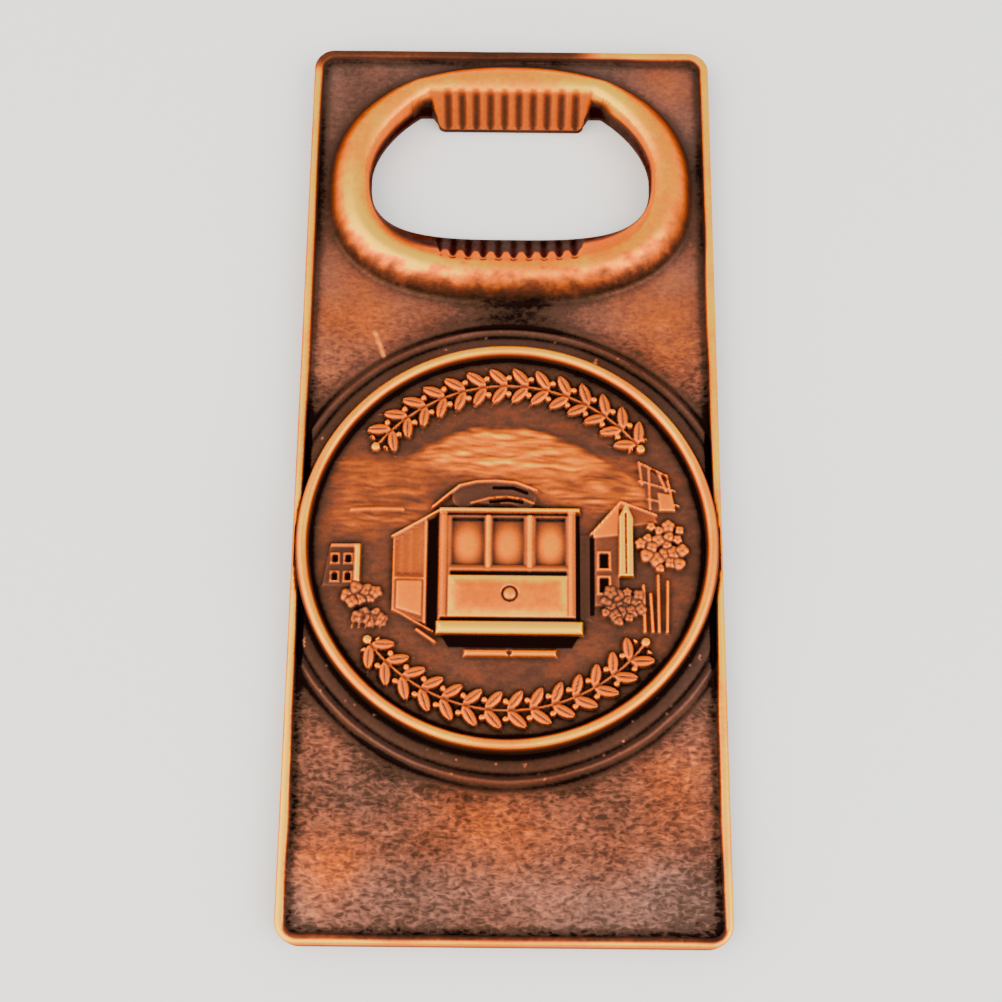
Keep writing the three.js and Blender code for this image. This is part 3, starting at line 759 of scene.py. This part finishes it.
def lattice(low, high, pitch):
    """Points on a triangular lattice between two corners, each moved a little so that no pattern shows."""
    x, y = np.meshgrid(np.arange(low[0], high[0], pitch), np.arange(low[1], high[1], pitch * 0.866))
    x[1::2] += pitch / 2
    x, y = x.ravel(), y.ravel()
    along = 0.15 * pitch * noise(x * 7.3, y * 7.3, 51)
    across = 0.15 * pitch * noise(x * 7.3, y * 7.3, 52)
    return np.stack([x + along, y + across], 1)


def evenly(points, spacing, closed=True):
    """Evenly spaced points along a line of points."""
    points = np.asarray(points, float)
    if closed:
        points = np.concatenate([points, points[:1]])
    length = np.r_[0, np.cumsum(np.hypot(*np.diff(points, axis=0).T))]
    count = max(2, int(round(length[-1] / spacing)))
    at = np.arange(count + (not closed)) / count * length[-1]
    return np.stack([np.interp(at, length, points[:, k]) for k in (0, 1)], 1)


def rect_loop(inset, spacing):
    """Points round the body's outline, set in from it."""
    w, h, r = HALF_W - inset, HALF_L - inset, max(CORNER_R - inset, 0.3)
    points = []
    for cx, cy, quarter in ((w - r, h - r, 0), (r - w, h - r, 1), (r - w, r - h, 2), (w - r, r - h, 3)):
        for a in np.linspace(0, math.pi / 2, 25) + quarter * math.pi / 2:
            points.append((cx + r * math.cos(a), cy + r * math.sin(a)))
    return evenly(points, spacing)


def between_ovals(first, second, share, spacing, start=-math.pi, end=math.pi):
    """Points at a share of the way between two of the mouth's outlines."""
    angle = np.linspace(start, end, 3000)
    r = reach(first, angle) * (1 - share) + reach(second, angle) * share
    return evenly(np.stack([r * np.cos(angle), MOUTH_Y + r * np.sin(angle)], 1), spacing, closed=False)


def circle_loop(radius, spacing):
    """Points round the medallion's centre."""
    angle = np.linspace(0, 2 * math.pi, 721)[:-1]
    return evenly(np.stack([radius * np.cos(angle), MEDAL_Y + radius * np.sin(angle)], 1), spacing)


def mouth_loop(spacing):
    """Clockwise round the mouth from the tongue's right root: the hole's edge, then the tongue's."""
    corner = math.atan2(HOLE_TOP - MOUTH_Y, TONGUE_ROOT)
    edge = between_ovals("hole", "hole", 0, spacing, corner, -math.pi - corner)
    r = TONGUE_CORNER
    turns = np.linspace(math.pi, 1.5 * math.pi, 9)
    left = [(-TONGUE_TIP + r + r * math.cos(a), TONGUE_TIP_Y + r + r * math.sin(a)) for a in turns]
    right = [(-x, y) for x, y in left[::-1]]
    tongue = evenly([edge[-1], *left, *right, edge[0]], spacing, closed=False)
    return np.concatenate([edge, tongue[1:-1]])


def keep_clear(points, rows, gap):
    """The points that lie at least gap from every point in rows."""
    tree = KDTree(len(rows))
    for i, (x, y) in enumerate(rows.tolist()):
        tree.insert((x, y, 0), i)
    tree.balance()
    return points[[tree.find((x, y, 0))[2] >= gap for x, y in points.tolist()]]


def row_edges(start, kept, linked):
    """Edges between neighbouring linked points of a row, whose kept points are numbered from start."""
    number = start - 1 + np.cumsum(kept)
    linked = linked & kept
    both = linked[:-1] & linked[1:]
    return list(zip(number[:-1][both].tolist(), number[1:][both].tolist()))


def triangulate(points, outline, hole=None, extra=()):
    """Triangles over points, inside an outline and outside a hole. Both are lists of point numbers.

    No triangle crosses an extra edge.
    """
    edges = list(extra)
    for loop in (outline, hole):
        if loop is not None:
            edges += list(zip(loop.tolist(), np.roll(loop, -1).tolist()))
    result = delaunay_2d_cdt([Vector(p) for p in points], edges, [], 1, 1e-7, True)
    origin = [source[0] if source else -1 for source in result[3]]
    faces = np.array([[origin[v] for v in face] for face in result[2]])
    faces = faces[(faces >= 0).all(1)]
    if hole is not None:
        faces = faces[~inside_polygon(points[faces].mean(1), points[hole])]
    return faces


def triangle_heights(points, faces):
    """How high each triangle stands over its longest side."""
    corners = points[faces]
    sides = corners[:, [1, 2, 0]] - corners
    doubled_area = np.abs(sides[:, 0, 0] * sides[:, 1, 1] - sides[:, 0, 1] * sides[:, 1, 0])
    return doubled_area / np.linalg.norm(sides, axis=2).max(1)


# Layers besides the tone, with their value on the sides and the back.
BARE = {"skin": 0.0, "dull": 0.3}

# Rings of the sides from the front down: share of the front's height, height added, inset, and tone.
BODY_SIDES = (
    (0.8, 0.1, 0, 0.42),
    (0.5, 0.1, 0, 0.36),
    (0, 0.9, 0, 0.36),
    (0, EDGE_BREAK, 0, 0.45),
    (0, 0.16, 0.06, 0.6),
    (0, 0.05, 0.18, 0.6),
    (0, 0, EDGE_BREAK, 0.5),
)
# The mouth's sides start dark, going on from the painted shadow at the foot of its wall.
MOUTH_SIDES = (
    (0.7, 0.05, 0.02, 0.1),
    (0.35, 0.05, 0.03, 0.12),
    (0, 0.12, 0.04, 0.3),
    (0, 0, 0.14, 0.4),
)
# The medallion's sides are dark: patina, and painted shade under its ring.
MEDAL_SIDES = (
    (0.85, 0.4, 0, 0.1),
    (0.5, 1.3, 0, 0.08),
    (0, MEDAL_Z + 0.3, 0, 0.08),
    (0, MEDAL_Z + 0.08, 0.08, 0.1),
    (0, MEDAL_Z, 0.3, 0.1),
)


class Casting:
    """Vertices, layers and faces of one closed mesh, gathered part by part."""

    def __init__(self, points, z, layers, faces):
        self.vertices = [np.column_stack([points, z])]
        self.layers = layers
        self.tones = [layers["tone"]]
        self.faces = faces.tolist()
        self.count = len(points)

    def add_points(self, points, z, tone):
        """Adds points at a height or heights, and gives their numbers."""
        self.vertices.append(np.column_stack([points, np.broadcast_to(z, len(points))]))
        self.tones.append(np.full(len(points), tone))
        self.count += len(points)
        return np.arange(self.count - len(points), self.count)

    def sink(self, loop, rings):
        """Rings of quads from a loop of the front down to the back. Gives the last ring."""
        front = self.vertices[0][loop]
        ahead = np.roll(front[:, :2], -1, 0) - np.roll(front[:, :2], 1, 0)
        outward = np.column_stack([ahead[:, 1], -ahead[:, 0]]) / np.linalg.norm(ahead, axis=1)[:, None]
        upper = loop
        for share, added, inset, tone in rings:
            lower = self.add_points(front[:, :2] - outward * inset, front[:, 2] * share + added, tone)
            quads = np.stack([upper, lower, np.roll(lower, -1), np.roll(upper, -1)], 1)
            self.faces += quads.tolist()
            upper = lower
        return upper

    def close(self, z, tone, outline, hole=None):
        """The flat back, between the last rings of the sides."""
        vertices = np.concatenate(self.vertices)[:, :2]
        rim_points = outline if hole is None else np.concatenate([outline, hole])
        low, high = vertices[outline].min(0), vertices[outline].max(0)
        inner = lattice(low, high, BACK_PITCH)
        inner = inner[inside_polygon(inner, vertices[outline])]
        if hole is not None:
            inner = inner[~inside_polygon(inner, vertices[hole])]
        inner = keep_clear(inner, vertices[rim_points], BACK_PITCH * 0.5)
        points = np.concatenate([vertices[rim_points], inner])
        gap = None if hole is None else len(outline) + np.arange(len(hole))
        faces = triangulate(points, np.arange(len(outline)), gap)
        faces = faces[triangle_heights(points, faces) > SLIVER]
        number = np.concatenate([rim_points, self.add_points(inner, z, tone)])
        self.faces += number[faces][:, ::-1].tolist()

    def object(self, name):
        """The finished object, whose layers are attributes of its points."""
        mesh = bpy.data.meshes.new(name)
        vertices = np.concatenate(self.vertices)
        mesh.from_pydata((vertices * MM).tolist(), [], self.faces)
        mesh.validate()
        mesh.shade_smooth()
        mesh.set_sharp_from_angle(angle=math.radians(SHARP))
        layers = {"tone": np.concatenate(self.tones)}
        for layer_name, bare in BARE.items():
            layers[layer_name] = np.full(len(vertices), bare)
            front = self.layers.get(layer_name, ())
            layers[layer_name][: len(front)] = front
        for layer_name, values in layers.items():
            layer = mesh.attributes.new(layer_name, "FLOAT", "POINT")
            layer.data.foreach_set("value", values.astype(np.float32))
        obj = bpy.data.objects.new(name, mesh)
        bpy.context.scene.collection.objects.link(obj)
        return obj


# -------------------- The two castings


def by_ribs(points):
    """Which points are about the tongue's or the lip's ribs."""
    x, y = np.abs(points[:, 0]), points[:, 1]
    by_tongue = (y > TONGUE_TIP_Y) & (y < EDGE_TOP + 1.3)
    by_lip = (y < MOUTH_Y - 7) & (y > EDGE_FOOT - 1)
    return (x < 10.3) & (by_tongue | by_lip)


def hidden(points):
    """Which points the medallion covers."""
    return off_medal(points) < HIDDEN_R


def in_the_open(points):
    """Which points are neither covered, nor about the ribs, nor on the mouth's wall."""
    x, dy = points[:, 0], points[:, 1] - MOUTH_Y
    on_wall = np.hypot(x, dy) < reach("edge", np.arctan2(dy, x)) + 0.08
    return ~hidden(points) & ~by_ribs(points) & ~on_wall


def wall_rows(start):
    """Rows of points round the mouth's wall, numbered from start, and the edges along them.

    The rows leave out the ribs. The edges also leave out the corners of the hole's flat top.
    """
    rows, edges = [], []
    for share in (0.07, 0.15, 0.25, 0.38, 0.52, 0.68, 0.84, 1.0):
        loop = between_ovals("hole", "edge", share, WALL_ROW)[:-1]
        kept = ~by_ribs(loop)
        off_corner = np.abs(loop[:, 1] - HOLE_TOP) > 0.6
        edges += row_edges(start, kept, off_corner)
        rows.append(loop[kept])
        start += len(rows[-1])
    return rows, edges


def bead_rows():
    """Rows of points round the bead, between the side rims."""
    loops = [circle_loop(BEAD_R + offset, BEAD_ROW) for offset in (-0.4, -0.2, 0.0, 0.2, 0.4)]
    return [loop[np.abs(loop[:, 0]) < HALF_W - RIM_WIDTH - 0.3] for loop in loops]


def body_points(outer, inner):
    """Points of the body's front, those of its two outlines first, and the edges to keep."""
    rim_rows = [rect_loop(inset, ROW) for inset in (0.1, 0.25, 0.45, 0.7, 0.9, 1.05, 1.2, 1.35, 1.5)]
    fixed = np.concatenate([outer, inner, *rim_rows])
    rows, edges = wall_rows(len(fixed))
    fixed = np.concatenate([fixed, *rows, *bead_rows()])
    groups = [fixed]
    for pitch, wanted in ((PITCH, in_the_open), (FINE, by_ribs), (COARSE, hidden)):
        points = lattice((-HALF_W, -HALF_L), (HALF_W, HALF_L), pitch)
        points = points[wanted(points)]
        points = points[plate(*points.T) > 0.06]
        points = points[~inside_polygon(points, inner)]
        if wanted is not hidden:
            points = keep_clear(points, fixed, pitch * 0.55)
        groups.append(points)
    return np.concatenate(groups), edges


def build_body():
    """The body: front, mouth, sides and back as one closed mesh."""
    outer, inner = rect_loop(0.0, ROW), mouth_loop(MOUTH_ROW)
    points, edges = body_points(outer, inner)
    outline = np.arange(len(outer))
    hole = len(outer) + np.arange(len(inner))
    faces = triangulate(points, outline, hole, edges)

    z, layers = body_front(points[:, 0], points[:, 1])
    scales = ((0.5, 0.9, -0.12, 0.06), (1.6, 0.15, -0.08, 0.04))
    rubbed = wear(body_front, points, (-HALF_W, -HALF_L), (HALF_W, HALF_L), 0.2, scales)
    layers["tone"] = layers["tone"] + rubbed * (1 - layers.pop("wall"))

    casting = Casting(points, z, layers, faces)
    sides = casting.sink(outline, BODY_SIDES)
    mouth = casting.sink(hole, MOUTH_SIDES)
    casting.close(0, 0.4, sides, mouth)
    return casting.object("opener_casting")


def build_medallion():
    """The medallion: relief front, ring, sides and back as one closed mesh."""
    insets = (0, 0.04, 0.12, 0.25, 0.42, 0.62, 0.83, 1.04, 1.23, 1.4, 1.53, 1.61, 1.66)
    ring = [circle_loop(MEDAL_R - inset, RING_ROW) for inset in insets]
    low, high = (-MEDAL_R, MEDAL_Y - MEDAL_R), (MEDAL_R, MEDAL_Y + MEDAL_R)
    inner = lattice(low, high, MEDAL_PITCH)
    inner = inner[off_medal(inner) < MEDAL_R - RING_WIDTH - 0.08]
    points = np.concatenate([*ring, inner])
    outline = np.arange(len(ring[0]))
    faces = triangulate(points, outline)

    z, layers = medal_front(points[:, 0], points[:, 1])
    rubbed = wear(medal_front, points, low, high, 0.1, ((0.3, 1.1, -0.22, 0.12), (1.0, 0.35, -0.12, 0.06)))
    layers["tone"] = layers["tone"] + rubbed * (off_medal(points) < MEDAL_R - RING_WIDTH)

    casting = Casting(points, z, layers, faces)
    sides = casting.sink(outline, MEDAL_SIDES)
    casting.close(MEDAL_Z, 0.2, sides)
    return casting.object("medallion_casting")


# -------------------- Materials


class Nodes:
    """A small helper that adds nodes and links to one material."""

    def __init__(self, name):
        self.material = bpy.data.materials.new(name)
        self.material.use_nodes = True
        self.tree = self.material.node_tree
        self.shader = self.tree.nodes["Principled BSDF"]

    def add(self, kind, links=(), **settings):
        """A node with some inputs linked or set, by name or number, and its properties set."""
        node = self.tree.nodes.new("ShaderNode" + kind)
        for key, value in settings.items():
            setattr(node, key, value)
        for key, value in dict(links).items():
            self.put(node.inputs[key], value)
        return node

    def put(self, socket, value):
        """Links an output to a socket, or sets it to a number or colour."""
        if isinstance(value, bpy.types.NodeSocket):
            self.tree.links.new(value, socket)
        else:
            socket.default_value = value

    def math(self, operation, a, b=0.0):
        """A Math node's result."""
        return self.add("Math", {0: a, 1: b}, operation=operation).outputs[0]

    def attribute(self, layer_name):
        """A layer that the mesh carries."""
        return self.add("Attribute", attribute_name=layer_name).outputs["Fac"]

    def noise(self, size, detail=3.0, rough=0.55, where=None, distortion=0.0):
        """Noise from 0 to 1, with features of a size in millimetres."""
        where = where or self.add("TexCoord").outputs["Object"]
        links = {"Vector": where, "Scale": 1 / (size * MM), "Detail": detail, "Roughness": rough}
        return self.add("TexNoise", {**links, "Distortion": distortion}).outputs[0]

    def bump(self, height, strength, depth):
        """Bumps of a depth in millimetres."""
        links = {"Height": height, "Strength": strength, "Distance": depth * MM}
        self.put(self.shader.inputs["Normal"], self.add("Bump", links).outputs[0])

    def ramp(self, value, stops):
        """A colour ramp. Each stop is a place and a colour or a grey."""
        node = self.add("ValToRGB", {0: value})
        for i, (place, colour) in enumerate(stops):
            element = node.color_ramp.elements[i] if i < 2 else node.color_ramp.elements.new(place)
            element.position = place
            element.color = (*colour, 1) if isinstance(colour, tuple) else (colour, colour, colour, 1)
        return node.outputs[0]


# Colours by tone, from recesses to buffed high spots: clean metal, and metal under a dull film.
PATINA = (
    (0.0, (0.006, 0.0015, 0.0011)),
    (0.16, (0.018, 0.0065, 0.0045)),
    (0.32, (0.09, 0.027, 0.014)),
    (0.48, (0.25, 0.055, 0.02)),
    (0.64, (0.55, 0.1, 0.01)),
    (0.8, (0.94, 0.17, 0.001)),
    (0.9, (0.98, 0.28, 0.002)),
    (1.0, (0.96, 0.5, 0.02)),
)
FILM = (
    (0.0, (0.012, 0.005, 0.004)),
    (0.3, (0.085, 0.046, 0.037)),
    (0.5, (0.26, 0.115, 0.083)),
    (0.8, (0.6, 0.25, 0.13)),
)
METALLIC = ((0.04, 1.0), (0.14, 0.35), (0.35, 0.8), (0.7, 1.0))
ROUGHNESS = ((0.0, 0.62), (0.5, 0.48), (0.9, 0.42))


def wrinkles(m):
    """Ridges of the leather-like skin, from 0 between them to 1 on them. They lie mostly along X."""
    stretched = m.add("Mapping", {"Vector": m.add("TexCoord").outputs["Object"]})
    stretched.inputs["Scale"].default_value = (1.0, 1.9, 1.0)
    wrinkle = m.noise(1.15, 1.0, 0.5, stretched.outputs[0], 0.3)
    from_ridge = m.math("ABSOLUTE", m.math("SUBTRACT", wrinkle, 0.5))
    return m.ramp(from_ridge, ((0.0, 0.85), (0.07, 0.55), (0.17, 0.08)))


def copper(name, grain_size, grain_share):
    """Antique copper: the tone layer, broken up by fine noise, picks patina or polished metal."""
    m = Nodes(name)
    m.shader.inputs["Specular IOR Level"].default_value = 0.35
    m.shader.inputs["Specular Tint"].default_value = (1.0, 0.42, 0.06, 1)
    skin = m.attribute("skin")
    ridges = wrinkles(m)
    grain = m.math("SUBTRACT", m.noise(grain_size, 4.0, 0.65), 0.5)
    cloud = m.math("SUBTRACT", m.noise(6, 2.0), 0.5)
    mottle = m.math("MULTIPLY", m.math("SUBTRACT", ridges, 0.5), m.math("MULTIPLY", skin, 0.21))
    tone = m.math("ADD", m.attribute("tone"), m.math("MULTIPLY", grain, grain_share))
    tone = m.math("ADD", tone, m.math("MULTIPLY", cloud, 0.14))
    tone = m.math("ADD", tone, mottle)
    clean_or_dull = {"Factor": m.attribute("dull"), 6: m.ramp(tone, PATINA), 7: m.ramp(tone, FILM)}
    m.put(m.shader.inputs["Base Color"], m.add("Mix", clean_or_dull, data_type="RGBA").outputs[2])
    m.put(m.shader.inputs["Metallic"], m.ramp(tone, METALLIC))
    m.put(m.shader.inputs["Roughness"], m.ramp(tone, ROUGHNESS))
    height = m.math("ADD", m.math("MULTIPLY", m.noise(0.16, 3.0), 0.35), m.noise(0.7, 2.0))
    height = m.math("ADD", height, m.math("MULTIPLY", ridges, m.math("MULTIPLY", skin, 2.0)))
    m.bump(height, 0.35, 0.06)
    return m.material


def glue():
    """Cured glue: amber, a little cloudy, with a soft sheen."""
    m = Nodes("cured_glue")
    cloud = m.noise(1.5)
    m.put(m.shader.inputs["Base Color"], m.ramp(cloud, ((0.3, (0.1, 0.06, 0.03)), (0.7, (0.2, 0.13, 0.06)))))
    m.put(m.shader.inputs["Roughness"], m.ramp(cloud, ((0.2, 0.35), (0.8, 0.55))))
    m.bump(m.noise(0.8), 0.3, 0.05)
    return m.material


def paint(obj, material):
    """Gives an object its only material."""
    obj.data.materials.clear()
    obj.data.materials.append(material)


body = build_body()
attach(body, "root")
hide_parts("opener_body")
paint(body, copper("antique_copper", 0.45, 0.2))

medallion = build_medallion()
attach(medallion, "root")
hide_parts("medallion")
paint(medallion, copper("medallion_copper", 0.35, 0.16))

paint(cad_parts["adhesive_layer"], glue())


# -------------------- Stage, light and camera


def make_floor():
    """A plain pale floor, just under the back."""
    half, level = 2.0, -0.05 * MM
    mesh = bpy.data.meshes.new("floor")
    corners = [(-half, -half, level), (half, -half, level), (half, half, level), (-half, half, level)]
    mesh.from_pydata(corners, [], [(0, 1, 2, 3)])
    floor = bpy.data.objects.new("floor", mesh)
    bpy.context.scene.collection.objects.link(floor)
    pale = Nodes("pale_floor")
    pale.shader.inputs["Base Color"].default_value = (0.93, 0.93, 0.93, 1)
    pale.shader.inputs["Roughness"].default_value = 0.9
    paint(floor, pale.material)


def area_light(name, place, size, power, colour=(1, 1, 1)):
    """A soft box that shines on the object's middle."""
    light = bpy.data.lights.new(name, "AREA")
    light.shape = "RECTANGLE"
    light.size, light.size_y = size
    light.energy = power
    light.color = colour
    obj = bpy.data.objects.new(name, light)
    obj.location = place
    obj.rotation_euler = (-Vector(place)).to_track_quat("-Z", "Y").to_euler()
    bpy.context.scene.collection.objects.link(obj)


def make_world(strength):
    """White light from all round."""
    world = bpy.data.worlds.new("studio")
    world.use_nodes = True
    background = world.node_tree.nodes["Background"]
    background.inputs["Color"].default_value = (1, 1, 1, 1)
    background.inputs["Strength"].default_value = strength
    bpy.context.scene.world = world


def make_camera():
    """Looks down on the front from the foot end, a little off the face's normal."""
    tilt, roll, distance = math.radians(18.03), math.radians(0.57), 208.7 * MM
    look = Vector((-0.78, -3.82, 0)) * MM
    back = Vector((0, -math.sin(tilt), math.cos(tilt)))
    right = Vector((1, 0, 0))
    turn = Matrix((right, back.cross(right), back)).transposed().to_4x4()
    camera = bpy.data.objects.new("camera", bpy.data.cameras.new("camera"))
    camera.matrix_world = Matrix.Translation(look + back * distance) @ turn @ Matrix.Rotation(roll, 4, "Z")
    camera.data.sensor_width = 36
    camera.data.lens = 63.05
    camera.data.clip_start = 0.005
    bpy.context.scene.collection.objects.link(camera)
    bpy.context.scene.camera = camera


make_floor()
make_world(1.3)
area_light("key", (-0.42, -0.22, 0.42), (0.9, 0.9), 6.5, (1.0, 0.9, 0.7))
area_light("fill", (0.45, -0.25, 0.45), (0.6, 0.6), 4)
make_camera()
